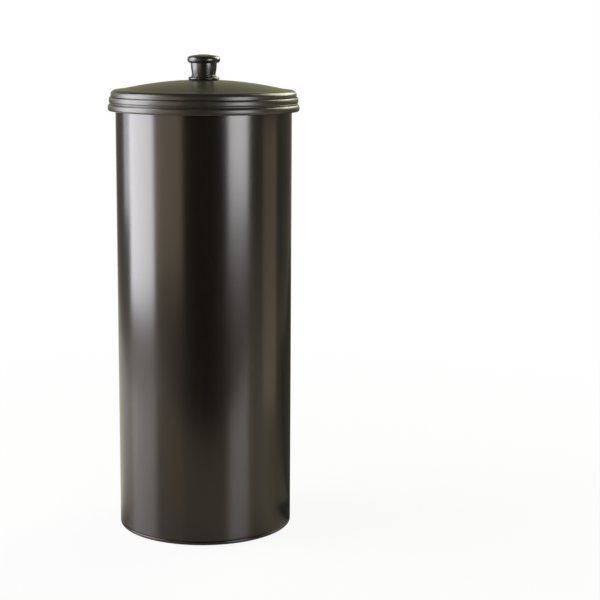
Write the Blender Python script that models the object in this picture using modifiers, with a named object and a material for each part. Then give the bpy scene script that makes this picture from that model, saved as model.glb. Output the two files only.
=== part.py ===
"""Toilet roll holder: a tall canister with a lift-off lid.

Metres, +Z up. The canister stands on z = 0 with its axis on the Z axis. A straight tube is
closed below by a ribbed base cap on thin pads. A domed lid with a banded rim rests on the tube's
mouth and lifts straight off. Its knob is held by a screw from inside the lid.
"""

import math

import bmesh
import bpy
from mathutils import Matrix

# Clearances and working allowances
SEAT_GAP = 0.0003
CUT_OVERRUN = 0.002
JOIN_OVERLAP = 0.0006
WELD_DISTANCE = 0.000001

# Tube
TUBE_OUTER_RADIUS = 0.0732
TUBE_WALL = 0.0020
TUBE_LENGTH = 0.3603
TUBE_EDGE_ROUND = 0.0006

# Foot pads
PAD_COUNT = 4
PAD_RADIUS = 0.0060
PAD_THICKNESS = 0.0012
PAD_PROUD = 0.0006
PAD_EDGE_ROUND = 0.0003

# Base cap
FLANGE_HEIGHT = 0.0028
FLANGE_ROUND = 0.0016
FLANGE_ROUND_MOST_SHARE = 0.9
SPIGOT_WALL = 0.0020
SPIGOT_LIP_HEIGHT = 0.0058
SPIGOT_LEAD_IN = 0.0008
FLOOR_HEIGHT = 0.0096
FLOOR_THICKNESS = 0.0022
FLOOR_RIB_COUNT = 8
FLOOR_RIB_THICKNESS = 0.0016
FLOOR_RIB_LIFT = 0.0016
HUB_RADIUS = 0.0160
HUB_WALL = 0.0016
HUB_LIFT = 0.0010
PAD_BOSS_WALL = 0.0017
PAD_BOSS_INSET = 0.0024

# Lid rim: three bands, each wider than the one above, over a channel for the tube's mouth
RIM_CLEARANCE = 0.0018
RIM_DROP = 0.0113
BAND_WALL = 0.0015
LOW_BAND_STEP = 0.00095
LOW_BAND_DEPTH = 0.0015
LOW_BAND_LOWER_HEIGHT = 0.0026
LOW_BAND_UPPER_HEIGHT = 0.0028
RIM_LIP_WIDTH = 0.00065
VALLEY_HEIGHT = 0.0003
FILLET_BAND_HEIGHT = 0.0012
FILLET_BAND_DEPTH = 0.0003
MIDDLE_BAND_STEP = 0.0015
MIDDLE_BAND_LOWER_DEPTH = 0.00065
MIDDLE_BAND_UPPER_DEPTH = 0.0011
MIDDLE_BAND_LOWER_HEIGHT = 0.0014
MIDDLE_BAND_UPPER_HEIGHT = 0.0032
GROOVE_HEIGHT = 0.0005
GROOVE_DEPTH = 0.0005
TOP_BAND_HEIGHT = 0.0019
TOP_BAND_ROUND_WIDTH = 0.0050
TOP_BAND_ROUND_HEIGHT = 0.0035
TOP_BAND_TUCK_ANGLE = 20
INNER_STEP_HEIGHT = 0.0012
INNER_CORNER_ROUND = 0.0020

# Lid dome, locating ring and the ribs that seat it on the tube's mouth
DOME_RISE = 0.0083
DOME_WALL = 0.0020
RING_CLEARANCE = 0.0015
RING_WALL = 0.0020
RING_DEPTH = 0.0103
RING_LEAD_IN = 0.0010
SEAT_RIB_COUNT = 12
SEAT_RIB_THICKNESS = 0.0016
KNOB_SEAT_MARGIN = 0.0006
KNOB_SEAT_DEPTH = 0.0002
SCREW_HOLE_CLEARANCE = 0.0004
LID_BOSS_DEPTH = 0.0025
LID_BOSS_MARGIN = 0.0025

# Knob
COLLAR_RADIUS = 0.0129
COLLAR_HEIGHT = 0.0027
COLLAR_NOSE = 0.0015
NECK_RING_RADIUS = 0.0104
NECK_RING_HEIGHT = 0.0013
NECK_RING_NOSE = 0.0005
NECK_LOWER_RADIUS = 0.0097
NECK_UPPER_RADIUS = 0.0108
NECK_HEIGHT = 0.0099
CAP_RADIUS = 0.0136
CAP_UNDER_HEIGHT = 0.0027
CAP_UNDER_NOSE = 0.0024
CAP_UPPER_HEIGHT = 0.0030
CAP_UPPER_NOSE = 0.0022
CAP_CROWN_RISE = 0.0014

# Insert, screw and washer
INSERT_WALL = 0.0012
INSERT_LENGTH = 0.0080
INSERT_SINK = 0.0002
INSERT_GROOVE_DEPTH = 0.0005
INSERT_GROOVE_HEIGHT = 0.0016
SCREW_RADIUS = 0.0019
SCREW_REACH = 0.0065
SCREW_TIP_CHAMFER = 0.0005
SCREW_TIP_SPACE = 0.0012
SCREW_HEAD_RADIUS = 0.0040
SCREW_HEAD_HEIGHT = 0.0025
SCREW_HEAD_SIDE_HEIGHT = 0.0010
WASHER_MARGIN = 0.0010
WASHER_THICKNESS = 0.0008
WASHER_CLEARANCE = 0.0003

# Facets
LARGE_SEGMENTS = 60
KNOB_SEGMENTS = 32
SMALL_SEGMENTS = 20
DOME_STEPS = 6
DOME_INNER_STEPS = 4
BAND_STEPS = 3
SHOULDER_STEPS = 5
NOSE_STEPS = 3
COLLAR_STEPS = 4
NECK_STEPS = 4
EDGE_STEPS = 2
SHARP_ANGLE = 35
FULL_TURN = 360

PARTS_COLLECTION = "toilet_roll_holder"
TOOLS_COLLECTION = "shaping_tools"

# Sizes of the base cap and tube that follow from the ones above
tube_inner_radius = TUBE_OUTER_RADIUS - TUBE_WALL
tube_bottom = PAD_PROUD + FLANGE_HEIGHT + SEAT_GAP
tube_mouth = tube_bottom + TUBE_LENGTH
spigot_radius = tube_inner_radius - SEAT_GAP
spigot_inner_radius = spigot_radius - SPIGOT_WALL
floor_underside = FLOOR_HEIGHT - FLOOR_THICKNESS
pad_recess_radius = PAD_RADIUS + SEAT_GAP
pad_recess_depth = PAD_THICKNESS - PAD_PROUD + SEAT_GAP
pad_boss_radius = pad_recess_radius + PAD_BOSS_WALL
pad_circle_radius = spigot_inner_radius - PAD_BOSS_INSET - pad_boss_radius

# Radii of the lid's rim, from the tube outwards
rim_inner_radius = TUBE_OUTER_RADIUS + RIM_CLEARANCE
groove_radius = rim_inner_radius + BAND_WALL
top_band_radius = groove_radius + GROOVE_DEPTH
middle_band_radius = top_band_radius + MIDDLE_BAND_STEP
low_band_radius = middle_band_radius + LOW_BAND_STEP
valley_radius = middle_band_radius - MIDDLE_BAND_LOWER_DEPTH
rim_middle_inner_radius = valley_radius - BAND_WALL
rim_lip_radius = low_band_radius - LOW_BAND_DEPTH
rim_low_inner_radius = rim_lip_radius - RIM_LIP_WIDTH

# Heights on the lid, from the plane of its seat on the tube's mouth
lid_seat = tube_mouth + SEAT_GAP
rim_bottom = -RIM_DROP
low_band_peak = rim_bottom + LOW_BAND_LOWER_HEIGHT
low_band_top = low_band_peak + LOW_BAND_UPPER_HEIGHT
fillet_band_bottom = low_band_top + VALLEY_HEIGHT
fillet_band_top = fillet_band_bottom + FILLET_BAND_HEIGHT
middle_band_peak = fillet_band_top + MIDDLE_BAND_LOWER_HEIGHT
middle_band_top = middle_band_peak + MIDDLE_BAND_UPPER_HEIGHT
top_band_bottom = middle_band_top + GROOVE_HEIGHT
top_band_shoulder = top_band_bottom + TOP_BAND_HEIGHT

# The top band's round tucks under the dome's edge, which sets the dome's sphere
shoulder_centre_radius = top_band_radius - TOP_BAND_ROUND_WIDTH
tuck_angle = math.radians(90 + TOP_BAND_TUCK_ANGLE)
dome_edge_radius = shoulder_centre_radius + TOP_BAND_ROUND_WIDTH * math.cos(tuck_angle)
dome_edge_height = top_band_shoulder + TOP_BAND_ROUND_HEIGHT * math.sin(tuck_angle)
dome_sphere_radius = (dome_edge_radius**2 + DOME_RISE**2) / (2 * DOME_RISE)
crown_height = dome_edge_height + DOME_RISE
dome_centre_height = crown_height - dome_sphere_radius
ring_radius = tube_inner_radius - RING_CLEARANCE
ring_inner_radius = ring_radius - RING_WALL

# Insert, screw and washer, from the lid's own heights
washer_radius = SCREW_HEAD_RADIUS + WASHER_MARGIN
washer_hole_radius = SCREW_RADIUS + WASHER_CLEARANCE
screw_hole_radius = SCREW_RADIUS + SCREW_HOLE_CLEARANCE
insert_bore_radius = SCREW_RADIUS + SEAT_GAP
insert_radius = insert_bore_radius + INSERT_WALL
lid_boss_radius = washer_radius + LID_BOSS_MARGIN
lid_boss_bottom = crown_height - DOME_WALL - LID_BOSS_DEPTH
washer_bottom = lid_boss_bottom - SEAT_GAP - WASHER_THICKNESS
screw_bearing = washer_bottom - SEAT_GAP


def sphere_height(sphere_radius, radius):
    """Height on a sphere about the dome's centre, at this distance from the axis."""
    return dome_centre_height + math.sqrt(sphere_radius**2 - radius**2)


def dome_height(radius):
    """Height of the dome's outer face."""
    return sphere_height(dome_sphere_radius, radius)


def dome_underside(radius):
    """Height of the dome's inner face."""
    return sphere_height(dome_sphere_radius - DOME_WALL, radius)


# The knob stands in a shallow flat seat on the crown
knob_seat_radius = COLLAR_RADIUS + KNOB_SEAT_MARGIN
knob_seat = dome_height(knob_seat_radius) - KNOB_SEAT_DEPTH
knob_base = knob_seat + SEAT_GAP
insert_bottom = knob_base + INSERT_SINK
screw_tip = insert_bottom + SCREW_REACH
insert_top = insert_bottom + INSERT_LENGTH
knob_bore_depth = max(insert_top + SEAT_GAP, screw_tip + SCREW_TIP_SPACE) - knob_base

# Heights up the knob, from its base
neck_ring_bottom = COLLAR_HEIGHT
neck_bottom = neck_ring_bottom + NECK_RING_HEIGHT
neck_top = neck_bottom + NECK_HEIGHT
cap_edge_height = neck_top + CAP_UNDER_HEIGHT
cap_shoulder_height = cap_edge_height + CAP_UPPER_HEIGHT


def arc(centre_radius, centre_height, width, height, start, end, steps):
    """Points of an elliptical arc from one angle to another, in degrees from the +X side."""
    points = []
    for step in range(steps + 1):
        angle = math.radians(start + (end - start) * step / steps)
        radius = centre_radius + width * math.cos(angle)
        points.append((radius, centre_height + height * math.sin(angle)))
    return points


def sphere_arc(sphere_radius, start_radius, end_radius, steps):
    """Points on a sphere about the dome's centre, evenly spaced in distance from the axis."""
    points = []
    for step in range(steps + 1):
        radius = start_radius + (end_radius - start_radius) * step / steps
        points.append((radius, sphere_height(sphere_radius, radius)))
    return points


def clear_scene():
    for old in list(bpy.data.objects):
        bpy.data.objects.remove(old, do_unlink=True)


def new_collection(name):
    collection = bpy.data.collections.new(name)
    bpy.context.scene.collection.children.link(collection)
    return collection


def new_empty(name, collection, height):
    """A frame on the axis that carries the pieces of one body."""
    empty = bpy.data.objects.new(name, None)
    empty.empty_display_size = TUBE_OUTER_RADIUS
    empty.location = (0, 0, height)
    collection.objects.link(empty)
    return empty


def new_material(name, colour, roughness, metallic, coat=0.0):
    material = bpy.data.materials.new(name)
    material.use_nodes = True
    shader = material.node_tree.nodes["Principled BSDF"]
    shader.inputs["Base Color"].default_value = (*colour, 1)
    shader.inputs["Roughness"].default_value = roughness
    shader.inputs["Metallic"].default_value = metallic
    shader.inputs["Coat Weight"].default_value = coat
    material.diffuse_color = (*colour, 1)
    return material


def satin_bronze():
    """Dark bronze metallic lacquer on the tube, base and lid."""
    return new_material("satin_bronze", (0.048, 0.042, 0.034), 0.34, 0.55)


def gloss_bronze():
    """The knob's smoother, glossier bronze."""
    return new_material("gloss_bronze", (0.036, 0.033, 0.027), 0.2, 0.55, coat=0.3)


def pad_rubber():
    return new_material("pad_rubber", (0.025, 0.025, 0.025), 0.8, 0.0)


def insert_brass():
    return new_material("insert_brass", (0.72, 0.52, 0.22), 0.3, 1.0)


def zinc_steel():
    return new_material("zinc_steel", (0.62, 0.63, 0.65), 0.32, 1.0)


def shade_round(mesh):
    mesh.shade_smooth()
    mesh.set_sharp_from_angle(angle=math.radians(SHARP_ANGLE))


def evaluated_mesh(source):
    """The object's mesh with its modifiers or its curve's thickness made real."""
    bpy.context.view_layer.update()
    graph = bpy.context.evaluated_depsgraph_get()
    return bpy.data.meshes.new_from_object(source.evaluated_get(graph))


def turned_object(name, outline, segments, collection, closed=True):
    """Turns an outline of (radius, height) points, which runs down its outer side, about Z."""
    mesh = bpy.data.meshes.new(name)
    sketch = bmesh.new()
    corners = [sketch.verts.new((radius, 0, height)) for radius, height in outline]
    for first, second in zip(corners, corners[1:]):
        sketch.edges.new((first, second))
    if closed:
        sketch.edges.new((corners[-1], corners[0]))
    sketch.to_mesh(mesh)
    sketch.free()
    turned = bpy.data.objects.new(name, mesh)
    collection.objects.link(turned)
    screw = turned.modifiers.new("turn", "SCREW")
    screw.axis = "Z"
    screw.angle = math.radians(FULL_TURN)
    screw.steps = segments
    screw.render_steps = segments
    screw.use_merge_vertices = True
    screw.merge_threshold = WELD_DISTANCE
    turned.data = evaluated_mesh(turned)
    turned.modifiers.clear()
    shade_round(turned.data)
    return turned


def flat_outline_mesh(name, outline, thickness):
    """A plate cut to an outline of (radius, height) points, standing on the XZ plane."""
    curve = bpy.data.curves.new(name, "CURVE")
    curve.dimensions = "2D"
    curve.fill_mode = "BOTH"
    curve.extrude = thickness / 2
    spline = curve.splines.new("POLY")
    spline.points.add(len(outline) - 1)
    for point, (radius, height) in zip(spline.points, outline):
        point.co = (radius, height, 0, 1)
    spline.use_cyclic_u = True
    plate = bpy.data.objects.new(name, curve)
    bpy.context.scene.collection.objects.link(plate)
    mesh = evaluated_mesh(plate)
    bpy.data.objects.remove(plate)
    welded = bmesh.new()
    welded.from_mesh(mesh)
    bmesh.ops.remove_doubles(welded, verts=welded.verts, dist=WELD_DISTANCE)
    bmesh.ops.rotate(welded, verts=welded.verts, matrix=Matrix.Rotation(math.radians(90), 3, "X"))
    welded.to_mesh(mesh)
    welded.free()
    return mesh


def copies_round_axis(name, mesh, count, start, collection):
    """One shaping tool that holds copies of a mesh spread evenly about the Z axis."""
    spread = bmesh.new()
    for index in range(count):
        turn = Matrix.Rotation(start + math.radians(FULL_TURN) * index / count, 4, "Z")
        copy = mesh.copy()
        copy.transform(turn)
        spread.from_mesh(copy)
        bpy.data.meshes.remove(copy)
    ringed = bpy.data.meshes.new(name)
    spread.to_mesh(ringed)
    spread.free()
    bpy.data.meshes.remove(mesh)
    tool = bpy.data.objects.new(name, ringed)
    collection.objects.link(tool)
    return tool


def cylinder_mesh(name, radius, bottom, top, distance):
    """A capped cylinder that stands at a distance from the Z axis."""
    shape = bmesh.new()
    depth = top - bottom
    bmesh.ops.create_cone(
        shape, cap_ends=True, segments=SMALL_SEGMENTS, radius1=radius, radius2=radius, depth=depth
    )
    bmesh.ops.translate(shape, verts=shape.verts, vec=(distance, 0, (top + bottom) / 2))
    mesh = bpy.data.meshes.new(name)
    shape.to_mesh(mesh)
    shape.free()
    return mesh


def shape_with(piece, tool, operation):
    """Joins or cuts a piece with a tool, which is kept as a guide."""
    tool.parent = piece
    tool.hide_render = True
    tool.display_type = "WIRE"
    boolean = piece.modifiers.new(tool.name, "BOOLEAN")
    boolean.operation = operation
    boolean.object = tool


def place(piece, parent, height, material):
    piece.parent = parent
    piece.location = (0, 0, height)
    piece.data.materials.clear()
    piece.data.materials.append(material)


def tube_outline():
    outer_edge = TUBE_OUTER_RADIUS - TUBE_EDGE_ROUND
    inner_edge = tube_inner_radius + TUBE_EDGE_ROUND
    low_edge = TUBE_EDGE_ROUND
    high_edge = TUBE_LENGTH - TUBE_EDGE_ROUND
    round_size = (TUBE_EDGE_ROUND, TUBE_EDGE_ROUND)
    return [
        *arc(outer_edge, high_edge, *round_size, 90, 0, EDGE_STEPS),
        *arc(outer_edge, low_edge, *round_size, 0, -90, EDGE_STEPS),
        *arc(inner_edge, low_edge, *round_size, -90, -180, EDGE_STEPS),
        *arc(inner_edge, high_edge, *round_size, 180, 90, EDGE_STEPS),
    ]


def build_tube(parts, parent, material):
    tube = turned_object("canister_tube", tube_outline(), LARGE_SEGMENTS, parts)
    place(tube, parent, tube_bottom, material)


def base_outline():
    """Floor, upstanding spigot and flange, then the hub's ring beneath the floor."""
    spigot_top = FLOOR_HEIGHT + SPIGOT_LIP_HEIGHT
    corner = min(FLANGE_ROUND, FLANGE_HEIGHT * FLANGE_ROUND_MOST_SHARE)
    return [
        (0, FLOOR_HEIGHT),
        (spigot_inner_radius, FLOOR_HEIGHT),
        (spigot_inner_radius, spigot_top),
        (spigot_radius - SPIGOT_LEAD_IN, spigot_top),
        (spigot_radius, spigot_top - SPIGOT_LEAD_IN),
        (spigot_radius, FLANGE_HEIGHT),
        (TUBE_OUTER_RADIUS, FLANGE_HEIGHT),
        *arc(TUBE_OUTER_RADIUS - corner, corner, corner, corner, 0, -90, BAND_STEPS),
        (spigot_inner_radius, 0),
        (spigot_inner_radius, floor_underside),
        (HUB_RADIUS, floor_underside),
        (HUB_RADIUS, HUB_LIFT),
        (HUB_RADIUS - HUB_WALL, HUB_LIFT),
        (HUB_RADIUS - HUB_WALL, floor_underside),
        (0, floor_underside),
    ]


def floor_rib_outline():
    """One rib from the hub's ring to the outer wall, let into both and into the floor."""
    inner_end = HUB_RADIUS - HUB_WALL / 2
    outer_end = spigot_inner_radius + JOIN_OVERLAP
    top = floor_underside + FLOOR_THICKNESS / 2
    return [(inner_end, FLOOR_RIB_LIFT), (outer_end, FLOOR_RIB_LIFT), (outer_end, top), (inner_end, top)]


def build_base_cap(parts, tools, parent, material):
    base = turned_object("base_cap", base_outline(), LARGE_SEGMENTS, parts, closed=False)
    place(base, parent, PAD_PROUD, material)
    rib = flat_outline_mesh("floor_rib", floor_rib_outline(), FLOOR_RIB_THICKNESS)
    ribs = copies_round_axis("floor_ribs", rib, FLOOR_RIB_COUNT, 0, tools)
    shape_with(base, ribs, "UNION")
    boss_top = floor_underside + FLOOR_THICKNESS / 2
    boss = cylinder_mesh("pad_boss", pad_boss_radius, 0, boss_top, pad_circle_radius)
    bosses = copies_round_axis("pad_bosses", boss, PAD_COUNT, pad_start_angle(), tools)
    shape_with(base, bosses, "UNION")
    recess = cylinder_mesh("pad_recess", pad_recess_radius, -CUT_OVERRUN, pad_recess_depth, pad_circle_radius)
    recesses = copies_round_axis("pad_recesses", recess, PAD_COUNT, pad_start_angle(), tools)
    shape_with(base, recesses, "DIFFERENCE")


def pad_start_angle():
    """The pads stand half a pitch round from the X axis."""
    return math.radians(FULL_TURN) / PAD_COUNT / 2


def pad_outline():
    edge = PAD_RADIUS - PAD_EDGE_ROUND
    return [
        (0, PAD_THICKNESS),
        (PAD_RADIUS, PAD_THICKNESS),
        *arc(edge, PAD_EDGE_ROUND, PAD_EDGE_ROUND, PAD_EDGE_ROUND, 0, -90, EDGE_STEPS),
        (0, 0),
    ]


def build_foot_pads(parts, parent, material):
    for index in range(PAD_COUNT):
        pad = turned_object(f"foot_pad_{index + 1}", pad_outline(), SMALL_SEGMENTS, parts, closed=False)
        place(pad, parent, 0, material)
        angle = pad_start_angle() + math.radians(FULL_TURN) * index / PAD_COUNT
        pad.location = (pad_circle_radius * math.cos(angle), pad_circle_radius * math.sin(angle), 0)


def rim_outer_outline():
    """The three bands, from the dome's edge down to the lip."""
    shoulder = (shoulder_centre_radius, top_band_shoulder, TOP_BAND_ROUND_WIDTH, TOP_BAND_ROUND_HEIGHT)
    middle_upper_radius = middle_band_radius - MIDDLE_BAND_UPPER_DEPTH
    middle_upper = (middle_upper_radius, middle_band_peak, MIDDLE_BAND_UPPER_DEPTH, MIDDLE_BAND_UPPER_HEIGHT)
    middle_lower = (valley_radius, middle_band_peak, MIDDLE_BAND_LOWER_DEPTH, MIDDLE_BAND_LOWER_HEIGHT)
    half_fillet = FILLET_BAND_HEIGHT / 2
    fillet = (valley_radius, fillet_band_bottom + half_fillet, FILLET_BAND_DEPTH, half_fillet)
    low_upper = (rim_lip_radius, low_band_peak, LOW_BAND_DEPTH, LOW_BAND_UPPER_HEIGHT)
    low_lower = (rim_lip_radius, low_band_peak, LOW_BAND_DEPTH, LOW_BAND_LOWER_HEIGHT)
    return [
        *arc(*shoulder, 90 + TOP_BAND_TUCK_ANGLE, 0, SHOULDER_STEPS),
        (top_band_radius, top_band_bottom),
        (groove_radius, top_band_bottom - GROOVE_HEIGHT / 2),
        *arc(*middle_upper, 90, 0, BAND_STEPS),
        *arc(*middle_lower, 0, -90, EDGE_STEPS)[1:],
        *arc(*fillet, 60, -90, EDGE_STEPS),
        *arc(*low_upper, 90, 0, BAND_STEPS),
        *arc(*low_lower, 0, -90, BAND_STEPS)[1:],
    ]


def rim_inner_outline():
    """Inside of the rim, from the lip up, stepping in behind each band to keep an even wall."""
    low_step = low_band_peak + LOW_BAND_UPPER_HEIGHT / 2 - INNER_STEP_HEIGHT / 2
    middle_step = middle_band_peak + MIDDLE_BAND_UPPER_HEIGHT / 2 - INNER_STEP_HEIGHT / 2
    return [
        (rim_low_inner_radius, rim_bottom),
        (rim_low_inner_radius, low_step),
        (rim_middle_inner_radius, low_step + INNER_STEP_HEIGHT),
        (rim_middle_inner_radius, middle_step),
        (rim_inner_radius, middle_step + INNER_STEP_HEIGHT),
        *inner_corner(0),
    ]


def inner_corner(offset):
    """The round between the rim's inside and the dome's, or a line this far inside the wall."""
    centre_radius = rim_inner_radius - INNER_CORNER_ROUND
    centre_height = dome_underside(centre_radius) - INNER_CORNER_ROUND
    size = INNER_CORNER_ROUND + offset
    return arc(centre_radius, centre_height, size, size, 0, 90, EDGE_STEPS)


def lid_outline():
    """Seat, dome and bands outside, then rim, locating ring, dome and screw boss inside."""
    inner_sphere = dome_sphere_radius - DOME_WALL
    corner_radius = rim_inner_radius - INNER_CORNER_ROUND
    return [
        (screw_hole_radius, knob_seat),
        (knob_seat_radius, knob_seat),
        *sphere_arc(dome_sphere_radius, knob_seat_radius, dome_edge_radius, DOME_STEPS)[:-1],
        *rim_outer_outline(),
        *rim_inner_outline(),
        *sphere_arc(inner_sphere, corner_radius, ring_radius, 1)[1:],
        (ring_radius, RING_LEAD_IN - RING_DEPTH),
        (ring_radius - RING_LEAD_IN, -RING_DEPTH),
        (ring_inner_radius, -RING_DEPTH),
        *sphere_arc(inner_sphere, ring_inner_radius, lid_boss_radius, DOME_INNER_STEPS),
        (lid_boss_radius, lid_boss_bottom),
        (screw_hole_radius, lid_boss_bottom),
    ]


def seat_rib_outline():
    """One rib between the locating ring and the rim, whose lower edge rests on the tube's mouth."""
    inner_end = ring_radius - JOIN_OVERLAP
    return [
        (inner_end, 0),
        (rim_inner_radius + JOIN_OVERLAP, 0),
        *inner_corner(JOIN_OVERLAP),
        (inner_end, dome_underside(inner_end) + JOIN_OVERLAP),
    ]


def build_lid_shell(parts, tools, parent, material):
    lid = turned_object("lid_shell", lid_outline(), LARGE_SEGMENTS, parts)
    place(lid, parent, 0, material)
    rib = flat_outline_mesh("seat_rib", seat_rib_outline(), SEAT_RIB_THICKNESS)
    ribs = copies_round_axis("seat_ribs", rib, SEAT_RIB_COUNT, 0, tools)
    shape_with(lid, ribs, "UNION")


def neck_outline():
    """The neck swells upwards, fast at first and then straight, from its ring to the cap."""
    points = []
    for step in range(NECK_STEPS + 1):
        drop = 1 - step / NECK_STEPS
        swell = math.sin(math.radians(90) * drop)
        radius = NECK_LOWER_RADIUS + (NECK_UPPER_RADIUS - NECK_LOWER_RADIUS) * swell
        points.append((radius, neck_bottom + NECK_HEIGHT * drop))
    return points


def crown_outline():
    """The cap's shallow crown, from the axis to its shoulder."""
    edge = CAP_RADIUS - CAP_UPPER_NOSE
    points = []
    for step in range(NOSE_STEPS):
        share = step / NOSE_STEPS
        points.append((edge * share, cap_shoulder_height + CAP_CROWN_RISE * (1 - share**2)))
    return points


def knob_outline():
    """Crown and bull nose of the cap, neck, ring and collar, then the bore for the insert."""
    bore_radius = insert_radius + SEAT_GAP
    half_ring = NECK_RING_HEIGHT / 2
    half_collar = COLLAR_HEIGHT / 2
    upper_nose = (CAP_RADIUS - CAP_UPPER_NOSE, cap_edge_height, CAP_UPPER_NOSE, CAP_UPPER_HEIGHT)
    under_nose = (CAP_RADIUS - CAP_UNDER_NOSE, cap_edge_height, CAP_UNDER_NOSE, CAP_UNDER_HEIGHT)
    ring = (NECK_RING_RADIUS - NECK_RING_NOSE, neck_ring_bottom + half_ring, NECK_RING_NOSE, half_ring)
    collar = (COLLAR_RADIUS - COLLAR_NOSE, half_collar, COLLAR_NOSE, half_collar)
    return [
        *crown_outline(),
        *arc(*upper_nose, 90, 0, NOSE_STEPS),
        *arc(*under_nose, 0, -90, NOSE_STEPS)[1:],
        *neck_outline(),
        *arc(*ring, 90, -90, NOSE_STEPS),
        *arc(*collar, 90, -90, COLLAR_STEPS),
        (bore_radius, 0),
        (bore_radius, knob_bore_depth),
        (0, knob_bore_depth),
    ]


def build_knob(parts, parent, material):
    knob = turned_object("knob", knob_outline(), KNOB_SEGMENTS, parts, closed=False)
    place(knob, parent, knob_base, material)


def insert_outline():
    waist = insert_radius - INSERT_GROOVE_DEPTH
    groove_top = (INSERT_LENGTH + INSERT_GROOVE_HEIGHT) / 2
    groove_bottom = (INSERT_LENGTH - INSERT_GROOVE_HEIGHT) / 2
    return [
        (insert_radius, INSERT_LENGTH),
        (insert_radius, groove_top),
        (waist, groove_top),
        (waist, groove_bottom),
        (insert_radius, groove_bottom),
        (insert_radius, 0),
        (insert_bore_radius, 0),
        (insert_bore_radius, INSERT_LENGTH),
    ]


def build_knob_insert(parts, parent, material):
    insert = turned_object("knob_insert", insert_outline(), SMALL_SEGMENTS, parts)
    place(insert, parent, insert_bottom, material)


def screw_outline():
    """Tip, shank and pan head, from the bearing face of the head."""
    shank = screw_tip - screw_bearing
    side_bottom = -SCREW_HEAD_SIDE_HEIGHT
    pan_height = SCREW_HEAD_HEIGHT - SCREW_HEAD_SIDE_HEIGHT
    return [
        (0, shank),
        (SCREW_RADIUS - SCREW_TIP_CHAMFER, shank),
        (SCREW_RADIUS, shank - SCREW_TIP_CHAMFER),
        (SCREW_RADIUS, 0),
        (SCREW_HEAD_RADIUS, 0),
        *arc(0, side_bottom, SCREW_HEAD_RADIUS, pan_height, 0, -90, NOSE_STEPS),
    ]


def build_knob_screw(parts, parent, material):
    screw = turned_object("knob_screw", screw_outline(), SMALL_SEGMENTS, parts, closed=False)
    place(screw, parent, screw_bearing, material)


def washer_outline():
    return [
        (washer_radius, WASHER_THICKNESS),
        (washer_radius, 0),
        (washer_hole_radius, 0),
        (washer_hole_radius, WASHER_THICKNESS),
    ]


def build_knob_washer(parts, parent, material):
    washer = turned_object("knob_washer", washer_outline(), SMALL_SEGMENTS, parts)
    place(washer, parent, washer_bottom, material)


def build_canister(parts, tools, bronze):
    canister = new_empty("canister", parts, 0)
    build_tube(parts, canister, bronze)
    build_base_cap(parts, tools, canister, bronze)
    build_foot_pads(parts, canister, pad_rubber())


def build_lid(parts, tools, bronze):
    """The lid's frame stands on the axis, along which it lifts, at its seat on the tube's mouth."""
    lid = new_empty("lid", parts, lid_seat)
    steel = zinc_steel()
    build_lid_shell(parts, tools, lid, bronze)
    build_knob(parts, lid, gloss_bronze())
    build_knob_insert(parts, lid, insert_brass())
    build_knob_screw(parts, lid, steel)
    build_knob_washer(parts, lid, steel)


def main():
    clear_scene()
    parts = new_collection(PARTS_COLLECTION)
    tools = new_collection(TOOLS_COLLECTION)
    bronze = satin_bronze()
    build_canister(parts, tools, bronze)
    build_lid(parts, tools, bronze)


main()
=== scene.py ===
"""Looks of the toilet roll holder: a tall bronze canister with a banded, domed lid and a turned knob.

Metres, +Z up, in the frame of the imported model. Each sub-assembly is a class whose fields hold its
sizes and whose methods shape its meshes with edit-mode operators and dress them in a finish.
"""

import logging
import math
from dataclasses import dataclass
from enum import Enum

import bpy
from mathutils import Matrix, Vector


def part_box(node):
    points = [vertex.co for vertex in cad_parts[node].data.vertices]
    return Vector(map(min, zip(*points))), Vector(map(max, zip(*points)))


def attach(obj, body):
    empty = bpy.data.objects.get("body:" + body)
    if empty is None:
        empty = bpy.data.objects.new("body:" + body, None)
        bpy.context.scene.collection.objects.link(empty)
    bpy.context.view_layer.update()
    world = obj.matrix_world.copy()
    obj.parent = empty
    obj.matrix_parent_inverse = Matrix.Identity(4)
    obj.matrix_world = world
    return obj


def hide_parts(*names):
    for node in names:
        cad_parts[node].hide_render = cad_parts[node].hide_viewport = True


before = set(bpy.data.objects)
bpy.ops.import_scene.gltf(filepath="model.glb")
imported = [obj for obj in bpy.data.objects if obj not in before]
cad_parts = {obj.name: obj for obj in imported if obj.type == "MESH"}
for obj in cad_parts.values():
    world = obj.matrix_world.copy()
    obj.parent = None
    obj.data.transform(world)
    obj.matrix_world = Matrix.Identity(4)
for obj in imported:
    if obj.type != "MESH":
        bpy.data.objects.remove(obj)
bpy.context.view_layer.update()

log = logging.getLogger("toilet_roll_holder")

Colour = tuple[float, float, float]
Point = tuple[float, float]
Outline = list[Point]
Socket = bpy.types.NodeSocket

ORIGIN = (0.0, 0.0, 0.0)
UP = (0.0, 0.0, 1.0)
WHITE = (1.0, 1.0, 1.0)
BLACK = (0.0, 0.0, 0.0)
COOL = (0.98, 0.99, 1.1)
WARM = (1.0, 0.85, 0.68)
PALE = (1.0, 1.0, 0.8)

# Shares that grow or fall over a range of values.
RISE = (0.0, 1.0)
FALL = (1.0, 0.0)
# The range that most of a noise's values lie in.
NOISE_RANGE = (0.3, 0.7)
# How straight back a direction has to point for its gloss to show the white backdrop.
BACKDROP_AIM = (0.93, 1.0)

SEAT_GAP = 0.0003
WELD_DISTANCE = 0.000002
START_SIZE = 0.001
JOIN_OVERLAP = 0.0006
CUT_OVERRUN = 0.002
SHARP_ANGLE = 34
ELLIPSE_POWER = 2.0
FINE_STEPS = 3
LEVEL_LIMIT = 0.1

LARGE_SEGMENTS = 192
KNOB_SEGMENTS = 128
SMALL_SEGMENTS = 48


class Body(Enum):
    """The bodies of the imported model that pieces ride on."""

    CANISTER = "canister"
    LID = "lid"


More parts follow.
